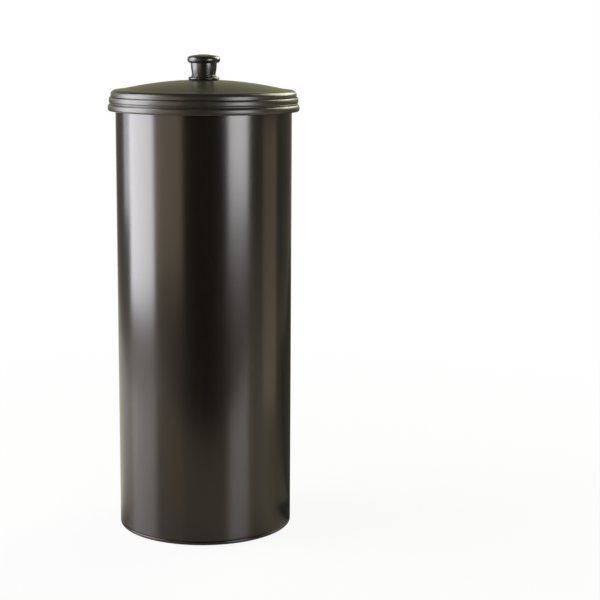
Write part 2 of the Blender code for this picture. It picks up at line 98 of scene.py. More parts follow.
class Slot(Enum):
    """The record's material slots."""

    SATIN = "satin_bronze"
    GLOSS = "gloss_bronze"
    RUBBER = "pad_rubber"
    BRASS = "insert_brass"
    STEEL = "zinc_steel"


class Cut(Enum):
    """What a shaping tool does to a piece."""

    JOIN = "UNION"
    REMOVE = "DIFFERENCE"


def arc(centre: Point, size: Point, angles: Point, steps: int, power: float = ELLIPSE_POWER) -> Outline:
    """Points of an elliptical arc in the plane of radius and height.

    Args:
        centre: Radius and height of the ellipse's centre.
        size: Half width and half height.
        angles: First and last angle, in degrees from the outward direction.
        steps: Number of chords.
        power: Power of the curve's equation. A larger one than an ellipse's gives a squarer round.

    Returns:
        The points, both ends among them.
    """
    start, end = angles
    bend = ELLIPSE_POWER / power
    points = []
    for step in range(steps + 1):
        angle = math.radians(start + (end - start) * step / steps)
        across, up = (
            math.copysign(abs(value) ** bend, value) for value in (math.cos(angle), math.sin(angle))
        )
        points.append((centre[0] + size[0] * across, centre[1] + size[1] * up))
    return points


def nose(tip: Point, size: Point, angles: Point, steps: int, power: float = ELLIPSE_POWER) -> Outline:
    """Points of an arc that is placed by the radius and height of its outermost point."""
    return arc((tip[0] - size[0], tip[1]), size, angles, steps, power)


class Bench:
    """Shapes pieces with edit-mode operators, as by hand."""

    @staticmethod
    def clear_selection() -> None:
        """Leaves edit mode and deselects everything."""
        if bpy.context.mode != "OBJECT":
            bpy.ops.object.mode_set(mode="OBJECT")
        bpy.ops.object.select_all(action="DESELECT")

    @classmethod
    def pick(cls, piece: bpy.types.Object) -> None:
        """Makes a piece the only one selected.

        Args:
            piece: The piece.
        """
        cls.clear_selection()
        piece.select_set(True)
        bpy.context.view_layer.objects.active = piece

    @classmethod
    def trace(cls, name: str, outline: Outline, closed: bool) -> bpy.types.Object:
        """Draws a wire through an outline, on the XZ plane, and leaves it in edit mode.

        Args:
            name: Name of the new piece.
            outline: Points of radius and height.
            closed: Whether the last point joins the first.

        Returns:
            The piece, with all of its wire selected.
        """
        cls.clear_selection()
        bpy.ops.mesh.primitive_plane_add(size=START_SIZE)
        piece = bpy.context.object
        piece.name = name
        piece.data.name = name
        bpy.ops.object.mode_set(mode="EDIT")
        bpy.ops.mesh.select_mode(type="VERT")
        bpy.ops.mesh.select_all(action="SELECT")
        bpy.ops.mesh.merge(type="CENTER")
        places = [Vector((radius, 0, height)) for radius, height in outline]
        if closed:
            places.append(places[0])
        bpy.ops.transform.translate(value=places[0])
        for here, there in zip(places, places[1:]):
            bpy.ops.mesh.extrude_region_move(TRANSFORM_OT_translate={"value": there - here})
        bpy.ops.mesh.select_all(action="SELECT")
        return piece

    @classmethod
    def close(cls, piece: bpy.types.Object) -> bpy.types.Object:
        """Welds a shell, faces it outwards and shades it smooth between sharp edges.

        Args:
            piece: The piece, in edit mode.

        Returns:
            The same piece, in object mode.
        """
        bpy.ops.mesh.select_all(action="SELECT")
        bpy.ops.mesh.remove_doubles(threshold=WELD_DISTANCE)
        bpy.ops.mesh.normals_make_consistent(inside=False)
        cls.pick(piece)
        bpy.ops.object.shade_smooth_by_angle(angle=math.radians(SHARP_ANGLE))
        return piece

    @classmethod
    def turn(cls, name: str, outline: Outline, segments: int, closed: bool = True) -> bpy.types.Object:
        """Turns an outline about the Z axis.

        Args:
            name: Name of the new piece.
            outline: Points of radius and height.
            segments: Number of facets round the axis.
            closed: Whether the outline is a loop, or starts and ends on the axis.

        Returns:
            The turned piece.
        """
        piece = cls.trace(name, outline, closed)
        bpy.ops.mesh.spin(steps=segments, angle=math.tau, center=ORIGIN, axis=UP)
        return cls.close(piece)

    @classmethod
    def plate(cls, name: str, outline: Outline, thickness: float) -> bpy.types.Object:
        """Cuts a plate to an outline, standing on the XZ plane with half its thickness on each side.

        Args:
            name: Name of the new piece.
            outline: Points of radius and height, without the closing one.
            thickness: Thickness of the plate.

        Returns:
            The plate.
        """
        piece = cls.trace(name, outline, closed=True)
        bpy.ops.mesh.remove_doubles(threshold=WELD_DISTANCE)
        bpy.ops.mesh.edge_face_add()
        bpy.ops.mesh.extrude_region_move(TRANSFORM_OT_translate={"value": (0, thickness, 0)})
        bpy.ops.mesh.select_all(action="SELECT")
        bpy.ops.transform.translate(value=(0, -thickness / 2, 0))
        return cls.close(piece)

    @staticmethod
    def copy(piece: bpy.types.Object, name: str, move: Matrix) -> bpy.types.Object:
        """Copies a piece, with a mesh of its own, to another place.

        Args:
            piece: The piece to copy.
            name: Name of the copy.
            move: Where the copy goes, from where the piece is.

        Returns:
            The copy.
        """
        twin = piece.copy()
        twin.name = name
        twin.data = piece.data.copy()
        twin.data.name = name
        twin.data.transform(move)
        bpy.context.scene.collection.objects.link(twin)
        return twin

    @classmethod
    def spread(cls, piece: bpy.types.Object, count: int, start: float = 0.0) -> bpy.types.Object:
        """Joins copies of a tool, spread evenly about the Z axis, into one.

        Args:
            piece: The tool, which becomes the first copy.
            count: Number of copies.
            start: Angle of the first copy, in degrees.

        Returns:
            The joined tool.
        """
        turns = [math.radians(start + 360 * index / count) for index in range(count)]
        twins = [cls.copy(piece, piece.name, Matrix.Rotation(turn, 4, "Z")) for turn in turns[1:]]
        piece.data.transform(Matrix.Rotation(turns[0], 4, "Z"))
        cls.pick(piece)
        for twin in twins:
            twin.select_set(True)
        bpy.ops.object.join()
        return piece

    @classmethod
    def combine(cls, piece: bpy.types.Object, tool: bpy.types.Object, cut: Cut) -> None:
        """Joins a tool to a piece, or cuts it away, and throws the tool away.

        Args:
            piece: The piece to shape.
            tool: The shaping tool.
            cut: Whether the tool is joined or cut away.
        """
        boolean = piece.modifiers.new(tool.name, "BOOLEAN")
        boolean.operation = cut.value
        boolean.solver = "EXACT"
        boolean.object = tool
        cls.pick(piece)
        bpy.ops.object.modifier_apply(modifier=boolean.name)
        bpy.data.objects.remove(tool)
        bpy.ops.object.shade_smooth_by_angle(angle=math.radians(SHARP_ANGLE))


class NodeDesk:
    """Short calls that add nodes to a tree and join them."""

    def __init__(self, tree: bpy.types.NodeTree) -> None:
        """Takes up the node tree of a material or a world."""
        self.tree = tree

    def node(self, kind: str, **settings: object) -> bpy.types.Node:
        """Adds a node.

        Args:
            kind: Type of the node.
            settings: Values of the node's own properties.

        Returns:
            The new node.
        """
        node = self.tree.nodes.new(kind)
        for key, value in settings.items():
            setattr(node, key, value)
        return node

    def join(self, source: Socket, target: Socket) -> None:
        """Links one socket to another."""
        self.tree.links.new(source, target)

    def feed(self, term: Socket | Colour | float, target: Socket) -> None:
        """Links a socket to another, or sets it to a value.

        Args:
            term: A socket, a colour or a number.
            target: The socket that takes it.
        """
        if isinstance(term, tuple):
            target.default_value = (*term, 1)
        elif isinstance(term, (int, float)):
            target.default_value = term
        else:
            self.join(term, target)

    def span(self, source: Socket, given: Point, wanted: Point) -> Socket:
        """Maps one range of values to another, and stops at its ends.

        Args:
            source: The value.
            given: The range it comes in.
            wanted: The range it leaves in.

        Returns:
            The mapped value.
        """
        mapper = self.node("ShaderNodeMapRange")
        self.join(source, mapper.inputs["Value"])
        for name, value in zip(("From Min", "From Max", "To Min", "To Max"), (*given, *wanted)):
            mapper.inputs[name].default_value = value
        return mapper.outputs["Result"]

    def maths(self, operation: str, *terms: Socket | float) -> Socket:
        """A sum, product or other simple result of values.

        Args:
            operation: Name of the operation.
            terms: Sockets or numbers.

        Returns:
            The result.
        """
        node = self.node("ShaderNodeMath", operation=operation)
        for socket, term in zip(node.inputs, terms):
            self.feed(term, socket)
        return node.outputs["Value"]

    def product(self, *terms: Socket) -> Socket:
        """Multiplies several values.

        Args:
            terms: The values.

        Returns:
            Their product.
        """
        result = terms[0]
        for term in terms[1:]:
            result = self.maths("MULTIPLY", result, term)
        return result

    def mix(self, share: Socket, first: Socket | float, second: Socket | float) -> Socket:
        """Mixes two values.

        Args:
            share: Share of the second value.
            first: A number or a socket.
            second: A number or a socket.

        Returns:
            The mixed value.
        """
        mixer = self.node("ShaderNodeMix", data_type="FLOAT")
        self.join(share, mixer.inputs["Factor"])
        sockets = [socket for socket in mixer.inputs if socket.type == "VALUE" and socket.name in "AB"]
        self.feed(first, sockets[0])
        self.feed(second, sockets[1])
        return next(socket for socket in mixer.outputs if socket.type == "VALUE")

    def blend(self, share: Socket, first: Socket | Colour, second: Socket | Colour) -> Socket:
        """Mixes two colours.

        Args:
            share: Share of the second colour.
            first: A colour or a socket.
            second: A colour or a socket.

        Returns:
            The mixed colour.
        """
        mixer = self.node("ShaderNodeMix", data_type="RGBA")
        self.join(share, mixer.inputs["Factor"])
        sockets = [socket for socket in mixer.inputs if socket.type == "RGBA"]
        self.feed(first, sockets[0])
        self.feed(second, sockets[1])
        return next(socket for socket in mixer.outputs if socket.type == "RGBA")

    def background_rays(self) -> Socket:
        """1 for a ray that a glossy or clear surface sends on, and 0 for others."""
        rays = self.node("ShaderNodeLightPath").outputs
        return self.maths("ADD", rays["Is Glossy Ray"], rays["Is Transmission Ray"])

    def camera_rays(self) -> Socket:
        """1 for a ray from the camera, and 0 for others."""
        return self.node("ShaderNodeLightPath").outputs["Is Camera Ray"]


class Shading(NodeDesk):
    """A material's nodes. Patterns read Object coordinates."""

    def __init__(self, name: str) -> None:
        """Starts a material with its Principled shader.

        Args:
            name: Name of the material.
        """
        self.material = bpy.data.materials.new(name)
        self.material.use_nodes = True
        super().__init__(self.material.node_tree)
        self.shader = self.tree.nodes["Principled BSDF"]
        self.place = self.node("ShaderNodeTexCoord").outputs["Object"]

    def noise(self, scale: float, detail: float, stretch: Colour = WHITE) -> Socket:
        """Cloudy noise.

        Args:
            scale: Cycles to a metre.
            detail: Octaves of finer noise.
            stretch: Scale along each axis.

        Returns:
            The noise's value.
        """
        mapping = self.node("ShaderNodeMapping")
        mapping.inputs["Scale"].default_value = stretch
        self.join(self.place, mapping.inputs["Vector"])
        noise = self.node("ShaderNodeTexNoise")
        noise.inputs["Scale"].default_value = scale
        noise.inputs["Detail"].default_value = detail
        self.join(mapping.outputs["Vector"], noise.inputs["Vector"])
        return noise.outputs["Fac"]

    def flakes(self, scale: float) -> Socket:
        """A random value for each of many small cells.

        Args:
            scale: Cells to a metre.

        Returns:
            The cells' value.
        """
        cells = self.node("ShaderNodeTexVoronoi", feature="F1")
        cells.inputs["Scale"].default_value = scale
        self.join(self.place, cells.inputs["Vector"])
        spread = self.node("ShaderNodeSeparateColor")
        self.join(cells.outputs["Color"], spread.inputs["Color"])
        return spread.outputs["Red"]

    def crests(self, pointiness: Point) -> Socket:
        """How far a point lies on a convex edge, from 0 to 1 over a range of pointiness."""
        return self.span(self.node("ShaderNodeNewGeometry").outputs["Pointiness"], pointiness, RISE)

    def dress(self, colour: Socket, pattern: Socket, roughness: Point) -> None:
        """Gives the surface its colour, and a roughness in a range that follows a pattern."""
        self.join(colour, self.shader.inputs["Base Color"])
        self.join(self.span(pattern, NOISE_RANGE, roughness), self.shader.inputs["Roughness"])

    def bump(self, height: Socket, depth: float) -> None:
        """Raises the surface by a pattern.

        Args:
            height: The pattern, from 0 to 1.
            depth: Height of the pattern in metres.
        """
        bump = self.node("ShaderNodeBump")
        bump.inputs["Distance"].default_value = depth
        self.join(height, bump.inputs["Height"])
        self.join(bump.outputs["Normal"], self.shader.inputs["Normal"])


@dataclass(frozen=True)
class Lacquer:
    """Bronze lacquer sprayed on moulded plastic, with a slight peel and rubbed crests."""

    name: str
    colour: Colour
    shade: Colour
    rubbed: Colour
    roughness: float
    roughness_swing: float = 0.04
    peel_depth: float = 0.00001
    rubbed_share: float = 0.5
    refraction: float = 1.8
    tint: Colour = (1.0, 0.95, 0.88)
    cloud_scale: float = 14
    cloud_range: Point = (0.35, 0.65)
    cloud_share: float = 0.6
    streak_scale: float = 220
    streak_stretch: Colour = (1, 1, 0.06)
    streak_share: float = 0.4
    flake_scale: float = 5200
    flake_range: Point = (0.7, 1.0)
    flake_share: Point = (0.0, 0.35)
    crest_range: Point = (0.52, 0.62)
    peel_scale: float = 900

    def material(self) -> bpy.types.Material:
        """Builds the finish.

        Returns:
            The material.
        """
        work = Shading(self.name)
        cloud = work.noise(self.cloud_scale, detail=3)
        streak = work.noise(self.streak_scale, detail=2, stretch=self.streak_stretch)
        body = work.blend(work.span(cloud, self.cloud_range, RISE), self.colour, self.shade)
        glint = work.span(work.flakes(self.flake_scale), self.flake_range, self.flake_share)
        body = work.blend(glint, body, self.rubbed)
        crest = work.maths("MULTIPLY", work.crests(self.crest_range), self.rubbed_share)
        body = work.blend(crest, body, self.rubbed)
        swing = work.maths(
            "ADD",
            work.maths("MULTIPLY", cloud, self.cloud_share),
            work.maths("MULTIPLY", streak, self.streak_share),
        )
        roughness = (self.roughness - self.roughness_swing, self.roughness + self.roughness_swing)
        work.dress(body, swing, roughness)
        work.shader.inputs["Specular Tint"].default_value = (*self.tint, 1)
        work.shader.inputs["IOR"].default_value = self.refraction
        work.bump(work.noise(self.peel_scale, detail=2), self.peel_depth)
        return work.material


@dataclass(frozen=True)
class Rubber:
    """Matt dark rubber with a fine grain."""

    name: str
    colour: Colour
    dust: Colour
    roughness: float = 0.82
    roughness_swing: float = 0.08
    grain_scale: float = 2600
    grain_depth: float = 0.00003
    patch_scale: float = 160
    patch_range: Point = (0.45, 0.75)
    dust_share: Point = (0.0, 0.6)

    def material(self) -> bpy.types.Material:
        """Builds the finish.

        Returns:
            The material.
        """
        work = Shading(self.name)
        grain = work.noise(self.grain_scale, detail=4)
        patch = work.noise(self.patch_scale, detail=3)
        body = work.blend(work.span(patch, self.patch_range, self.dust_share), self.colour, self.dust)
        roughness = (self.roughness - self.roughness_swing, self.roughness + self.roughness_swing)
        work.dress(body, grain, roughness)
        work.bump(grain, self.grain_depth)
        return work.material


@dataclass(frozen=True)
class BareMetal:
    """Turned or plated metal, with fine tool marks round the axis and tarnish in patches."""

    name: str
    colour: Colour
    tarnish: Colour
    roughness: float
    smoother: float = 0.06
    rougher: float = 0.1
    mark_scale: float = 3200
    mark_stretch: Colour = (0.02, 0.02, 1)
    mark_depth: float = 0.00001
    patch_scale: float = 420
    patch_range: Point = (0.45, 0.7)
    tarnish_share: Point = (0.0, 0.7)

    def material(self) -> bpy.types.Material:
        """Builds the finish.

        Returns:
            The material.
        """
        work = Shading(self.name)
        patch = work.noise(self.patch_scale, detail=4)
        marks = work.noise(self.mark_scale, detail=1, stretch=self.mark_stretch)
        body = work.blend(work.span(patch, self.patch_range, self.tarnish_share), self.colour, self.tarnish)
        work.dress(body, patch, (self.roughness - self.smoother, self.roughness + self.rougher))
        work.shader.inputs["Metallic"].default_value = 1.0
        work.bump(marks, self.mark_depth)
        return work.material


TUBE_LACQUER = Lacquer(
    name="tube_bronze_lacquer",
    colour=(0.0068, 0.0054, 0.0039),
    shade=(0.0058, 0.0046, 0.0033),
    rubbed=(0.022, 0.018, 0.014),
    roughness=0.2,
    roughness_swing=0.02,
)
LID_LACQUER = Lacquer(
    name="lid_bronze_lacquer",
    colour=(0.0180, 0.0157, 0.0103),
    shade=(0.0158, 0.0137, 0.0090),
    rubbed=(0.045, 0.040, 0.029),
    roughness=0.33,
    roughness_swing=0.025,
)
KNOB_LACQUER = Lacquer(
    name="knob_gloss_bronze",
    colour=(0.0125, 0.0112, 0.0076),
    shade=(0.0100, 0.0090, 0.0062),
    rubbed=(0.05, 0.045, 0.032),
    roughness=0.27,
    peel_depth=0.000002,
)
PAD_RUBBER = Rubber(name="pad_rubber_grain", colour=(0.022, 0.022, 0.023), dust=(0.07, 0.067, 0.062))
INSERT_BRASS = BareMetal(
    name="insert_brass_turned", colour=(0.72, 0.52, 0.22), tarnish=(0.42, 0.27, 0.1), roughness=0.3
)
SCREW_ZINC = BareMetal(
    name="zinc_plate", colour=(0.62, 0.63, 0.65), tarnish=(0.4, 0.4, 0.38), roughness=0.32
)


def settle(
    piece: bpy.types.Object,
    material: bpy.types.Material,
    body: Body,
    slot: Slot,
    *nodes: str,
) -> None:
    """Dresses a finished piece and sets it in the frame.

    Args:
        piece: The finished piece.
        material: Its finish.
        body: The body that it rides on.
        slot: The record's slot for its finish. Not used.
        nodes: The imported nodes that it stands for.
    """
    piece.data.materials.clear()
    piece.data.materials.append(material)
    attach(piece, body.value)
    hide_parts(*nodes)
    log.info("%s: %d faces on %s", piece.name, len(piece.data.polygons), body.value)


@dataclass
class Tube:
    """The straight tube, open at both ends."""

    radius: float
    bottom: float
    mouth: float
    wall: float = 0.0020
    edge_round: float = 0.0006
    edge_steps: int = 5
    ring_count: int = 24
    edge_band: float = 0.0015

    @classmethod
    def from_frame(cls) -> "Tube":
        """Takes the tube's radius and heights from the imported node."""
        low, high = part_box("canister_tube")
        return cls(radius=high.x, bottom=low.z, mouth=high.z)

    @property
    def inner_radius(self) -> float:
        """Radius of the tube's inside."""
        return self.radius - self.wall

    def face(self, radius: float) -> Outline:
        """One face of the wall, from the mouth down, with rings between its rounded edges.

        Args:
            radius: Radius of the face.

        Returns:
            Its points.
        """
        low = self.bottom + self.edge_round + self.edge_band
        high = self.mouth - self.edge_round - self.edge_band
        shares = [step / self.ring_count for step in range(self.ring_count + 1)]
        return [(radius, high + (low - high) * share) for share in shares]

    def outline(self) -> Outline:
        """Section of the wall, with all four edges rounded.

        Returns:
            Its points.
        """
        outer = self.radius - self.edge_round
        inner = self.inner_radius + self.edge_round
        low = self.bottom + self.edge_round
        high = self.mouth - self.edge_round
        size = (self.edge_round, self.edge_round)
        return [
            *arc((outer, high), size, (90, 0), self.edge_steps),
            *self.face(self.radius),
            *arc((outer, low), size, (0, -90), self.edge_steps),
            *arc((inner, low), size, (-90, -180), self.edge_steps),
            *reversed(self.face(self.inner_radius)),
            *arc((inner, high), size, (180, 90), self.edge_steps),
        ]

    def build(self, material: bpy.types.Material) -> None:
        """Turns the tube and sets it in the frame."""
        tube = Bench.turn("bronze_tube", self.outline(), LARGE_SEGMENTS)
        settle(tube, material, Body.CANISTER, Slot.SATIN, "canister_tube")


@dataclass
class BaseCap:
    """The cap that closes the tube below: floor, spigot, flange, hub, ribs and bosses for the pads."""

    bottom: float
    spigot_top: float
    flange_radius: float
    flange_top: float
    spigot_radius: float
    pad_radius: float
    pad_circle_radius: float
    flange_round: float = 0.0016
    flange_edge_round: float = 0.0004
    spigot_wall: float = 0.0020
    spigot_lead_in: float = 0.0008
    lip_height: float = 0.0058
    floor_thickness: float = 0.0022
    floor_corner_round: float = 0.0010
    rib_count: int = 8
    rib_thickness: float = 0.0016
    rib_lift: float = 0.0016
    hub_radius: float = 0.0160
    hub_wall: float = 0.0016
    hub_lift: float = 0.0010
    boss_wall: float = 0.0017
    recess_depth: float = 0.0009
    pad_count: int = 4
    corner_steps: int = 4
    round_steps: int = 8

    @classmethod
    def from_frame(cls, tube: Tube) -> "BaseCap":
        """Takes the cap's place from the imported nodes.

        Args:
            tube: The tube that the cap closes.

        Returns:
            The cap's sizes.
        """
        low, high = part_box("base_cap")
        pad_low, pad_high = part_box("foot_pad_1")
        pad_centre = (pad_low + pad_high) / 2
        return cls(
            bottom=low.z,
            spigot_top=high.z,
            flange_radius=high.x,
            flange_top=tube.bottom - SEAT_GAP,
            spigot_radius=tube.inner_radius - SEAT_GAP,
            pad_radius=(pad_high.x - pad_low.x) / 2,
            pad_circle_radius=pad_centre.xy.length,
        )

    @property
    def inner_radius(self) -> float:
        """Radius of the spigot's inside."""
        return self.spigot_radius - self.spigot_wall

    @property
    def floor_top(self) -> float:
        """Height of the floor's upper face."""
        return self.spigot_top - self.lip_height

    @property
    def floor_underside(self) -> float:
        """Height of the floor's lower face."""
        return self.floor_top - self.floor_thickness

    def outline(self) -> Outline:
        """Section from the floor's centre out over the spigot and flange, and back beneath to the hub.

        Returns:
            Its points.
        """
        corner = self.floor_corner_round
        edge = self.flange_edge_round
        foot = self.flange_round
        corner_tip = (self.inner_radius, self.floor_top + corner)
        hub_bottom = self.bottom + self.hub_lift
        return [
            (0, self.floor_top),
            *nose(corner_tip, (corner, corner), (-90, 0), self.corner_steps),
            (self.inner_radius, self.spigot_top),
            (self.spigot_radius - self.spigot_lead_in, self.spigot_top),
            (self.spigot_radius, self.spigot_top - self.spigot_lead_in),
            (self.spigot_radius, self.flange_top),
            *nose((self.flange_radius, self.flange_top - edge), (edge, edge), (90, 0), self.corner_steps),
            *nose((self.flange_radius, self.bottom + foot), (foot, foot), (0, -90), self.round_steps),
            (self.inner_radius, self.bottom),
            (self.inner_radius, self.floor_underside),
            (self.hub_radius, self.floor_underside),
            (self.hub_radius, hub_bottom),
            (self.hub_radius - self.hub_wall, hub_bottom),
            (self.hub_radius - self.hub_wall, self.floor_underside),
            (0, self.floor_underside),
        ]

    def rib_outline(self) -> Outline:
        """One rib from the hub to the outer wall, let into both and into the floor.

        Returns:
            Its points.
        """
        inner = self.hub_radius - self.hub_wall / 2
        outer = self.inner_radius + JOIN_OVERLAP
        bottom = self.bottom + self.rib_lift
        top = self.floor_underside + self.floor_thickness / 2
        return [(inner, bottom), (outer, bottom), (outer, top), (inner, top)]

    def pad_tool(self, name: str, radius: float, bottom: float, top: float) -> bpy.types.Object:
        """Round tools at the pads' places.

        Args:
            name: Name of the tool.
            radius: Radius of each.
            bottom: Lower end.
            top: Upper end.

        Returns:
            One tool that holds a copy for each pad.
        """
        tool = Bench.turn(
            name, [(0, top), (radius, top), (radius, bottom), (0, bottom)], SMALL_SEGMENTS, closed=False
        )
        tool.data.transform(Matrix.Translation((self.pad_circle_radius, 0, 0)))
        return Bench.spread(tool, self.pad_count, start=180 / self.pad_count)

    def build(self, material: bpy.types.Material) -> None:
        """Turns the cap, adds its ribs and bosses, and sets it in the frame.

        Args:
            material: The finish.
        """
        cap = Bench.turn("bronze_base_cap", self.outline(), LARGE_SEGMENTS, closed=False)
        rib = Bench.plate("floor_rib", self.rib_outline(), self.rib_thickness)
        Bench.combine(cap, Bench.spread(rib, self.rib_count), Cut.JOIN)
        recess_radius = self.pad_radius + SEAT_GAP
        boss_top = self.floor_underside + self.floor_thickness / 2
        boss = self.pad_tool("pad_boss", recess_radius + self.boss_wall, self.bottom, boss_top)
        Bench.combine(cap, boss, Cut.JOIN)
        recess_top = self.bottom + self.recess_depth
        recess = self.pad_tool("pad_recess", recess_radius, self.bottom - CUT_OVERRUN, recess_top)
        Bench.combine(cap, recess, Cut.REMOVE)
        settle(cap, material, Body.CANISTER, Slot.SATIN, "base_cap")


@dataclass
class FootPads:
    """Thin round pads under the base, with grip rings moulded in their lower faces."""

    radius: float
    thickness: float
    count: int = 4
    edge_round: float = 0.0003
    groove_depth: float = 0.00012
    groove_count: int = 4
    groove_share: float = 0.35

    @classmethod
    def from_frame(cls) -> "FootPads":
        """Takes the pads' size from the first packed pad."""
        low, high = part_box("foot_pad_1")
        return cls(radius=(high.x - low.x) / 2, thickness=high.z - low.z)

    def outline(self) -> Outline:
        """Section from the centre of the top, round the edge, and over the grip rings beneath.

        Returns:
            Its points.
        """
        edge = self.radius - self.edge_round
        pitch = edge / (self.groove_count + 1)
        half = pitch * self.groove_share / 2
        size = (self.edge_round, self.edge_round)
        points = [(0, self.thickness), (edge, self.thickness)]
        points += arc((edge, self.thickness - self.edge_round), size, (90, 0), FINE_STEPS)[1:]
        points += arc((edge, self.edge_round), size, (0, -90), FINE_STEPS)
        for index in range(self.groove_count, 0, -1):
            middle = pitch * index
            points.append((middle + half, 0))
            points.append((middle, self.groove_depth))
            points.append((middle - half, 0))
        return [*points, (0, 0)]

    def build(self, material: bpy.types.Material) -> None:
        """Turns one pad and copies it to the place of each packed pad.

        Args:
            material: The finish.
        """
        pattern = Bench.turn("grip_pad", self.outline(), SMALL_SEGMENTS, closed=False)
        for index in range(1, self.count + 1):
            low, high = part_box(f"foot_pad_{index}")
            middle = (low + high) / 2
            place = Matrix.Translation((middle.x, middle.y, low.z))
            pad = Bench.copy(pattern, f"grip_pad_{index}", place)
            settle(pad, material, Body.CANISTER, Slot.RUBBER, f"foot_pad_{index}")
        bpy.data.objects.remove(pattern)


@dataclass
class LidShell:
    """The domed lid: three stepped bands outside, locating ring, seat ribs and screw boss inside."""

    low_band_radius: float
    rim_bottom: float
    tube_inner_radius: float
    rim_drop: float = 0.0113
    band_wall: float = 0.0015
    low_band_step: float = 0.00095
    low_band_depth: float = 0.0015
    low_band_lower_height: float = 0.0026
    low_band_upper_height: float = 0.0028
    lip_width: float = 0.00065
    valley_height: float = 0.0003
    fillet_band_height: float = 0.0012
    fillet_band_depth: float = 0.0003
    fillet_start_angle: float = 80
    middle_band_step: float = 0.0015
    middle_band_lower_depth: float = 0.00065
    middle_band_upper_depth: float = 0.0011
    middle_band_lower_height: float = 0.0014
    middle_band_upper_height: float = 0.0032
    groove_height: float = 0.0005
    groove_depth: float = 0.0005
    top_band_height: float = 0.0019
    top_band_round_width: float = 0.0050
    top_band_round_height: float = 0.0035
    top_band_tuck_angle: float = 20
    inner_step_height: float = 0.0012
    inner_corner_round: float = 0.0020
    dome_rise: float = 0.0083
    dome_wall: float = 0.0020
    ring_clearance: float = 0.0015
    ring_wall: float = 0.0020
    ring_depth: float = 0.0103
    ring_lead_in: float = 0.0010
    rib_count: int = 12
    rib_thickness: float = 0.0016
    knob_seat_radius: float = 0.0135
    knob_seat_depth: float = 0.0002
    screw_hole_radius: float = 0.0023
    boss_radius: float = 0.0075
    boss_depth: float = 0.0025
    band_power: float = 2.6
    band_steps: int = 9
    shoulder_steps: int = 14
    dome_steps: int = 20
    dome_inner_steps: int = 10
    dome_rim_steps: int = 2
    corner_steps: int = 5

    @classmethod
    def from_frame(cls, tube: Tube) -> "LidShell":
        """Takes the lid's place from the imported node, and its fit from the tube it closes."""
        low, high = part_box("lid_shell")
        return cls(low_band_radius=high.x, rim_bottom=low.z, tube_inner_radius=tube.inner_radius)

    def __post_init__(self) -> None:
        """Works out the heights and radii that follow from the fields."""
        self.seat = self.rim_bottom + self.rim_drop
        self.low_peak = self.rim_bottom + self.low_band_lower_height
        self.low_top = self.low_peak + self.low_band_upper_height
        self.fillet_bottom = self.low_top + self.valley_height
        self.fillet_top = self.fillet_bottom + self.fillet_band_height
        self.middle_peak = self.fillet_top + self.middle_band_lower_height
        self.middle_top = self.middle_peak + self.middle_band_upper_height
        self.top_band_bottom = self.middle_top + self.groove_height
        self.shoulder = self.top_band_bottom + self.top_band_height
        self.middle_radius = self.low_band_radius - self.low_band_step
        self.top_radius = self.middle_radius - self.middle_band_step
        self.groove_radius = self.top_radius - self.groove_depth
        self.rim_inner_radius = self.groove_radius - self.band_wall
        self.valley_radius = self.middle_radius - self.middle_band_lower_depth
        self.lip_radius = self.low_band_radius - self.low_band_depth
        self.shoulder_radius = self.top_radius - self.top_band_round_width
        tuck = math.radians(90 + self.top_band_tuck_angle)
        self.dome_edge_radius = self.shoulder_radius + self.top_band_round_width * math.cos(tuck)
        dome_edge = self.shoulder + self.top_band_round_height * math.sin(tuck)
        self.sphere_radius = (self.dome_edge_radius**2 + self.dome_rise**2) / (2 * self.dome_rise)
        self.crown = dome_edge + self.dome_rise
        self.sphere_centre = self.crown - self.sphere_radius
        self.ring_radius = self.tube_inner_radius - self.ring_clearance
        self.ring_inner_radius = self.ring_radius - self.ring_wall
        self.knob_seat = self.on_sphere(self.sphere_radius, self.knob_seat_radius) - self.knob_seat_depth
        self.boss_bottom = self.crown - self.dome_wall - self.boss_depth

    def on_sphere(self, sphere_radius: float, radius: float) -> float:
        """Height on a sphere about the dome's centre, at this distance from the axis."""
        return self.sphere_centre + math.sqrt(sphere_radius**2 - radius**2)

    def sphere_arc(self, sphere_radius: float, start: float, end: float, steps: int) -> Outline:
        """Points on such a sphere, from one distance from the axis to another."""
        radii = [start + (end - start) * step / steps for step in range(steps + 1)]
        return [(radius, self.on_sphere(sphere_radius, radius)) for radius in radii]

    def bands(self) -> Outline:
        """The three bands and the fine fillet band, from the dome's edge down to the lip.

        Returns:
            Its points.
        """
        steps, power = self.band_steps, self.band_power
        groove = (self.groove_depth, self.groove_height / 2)
        fillet = (self.fillet_band_depth, self.fillet_band_height / 2)
        shoulder = (self.top_band_round_width, self.top_band_round_height)
        middle_upper = (self.middle_band_upper_depth, self.middle_band_upper_height)
        middle_lower = (self.middle_band_lower_depth, self.middle_band_lower_height)
        low_upper = (self.low_band_depth, self.low_band_upper_height)
        low_lower = (self.low_band_depth, self.low_band_lower_height)
        middle_tip = (self.middle_radius, self.middle_peak)
        low_tip = (self.low_band_radius, self.low_peak)
        groove_centre = (self.top_radius, self.middle_top + groove[1])
        fillet_centre = (self.valley_radius, self.fillet_bottom + fillet[1])
        tuck = (90 + self.top_band_tuck_angle, 0)
        return [
            *nose((self.top_radius, self.shoulder), shoulder, tuck, self.shoulder_steps),
            *arc(groove_centre, groove, (90, 270), steps),
            *nose(middle_tip, middle_upper, (90, 0), steps, power),
            *nose(middle_tip, middle_lower, (0, -90), steps, power)[1:],
            *arc(fillet_centre, fillet, (self.fillet_start_angle, -90), steps),
            *nose(low_tip, low_upper, (90, 0), steps, power),
            *nose(low_tip, low_lower, (0, -90), steps, power)[1:],
        ]

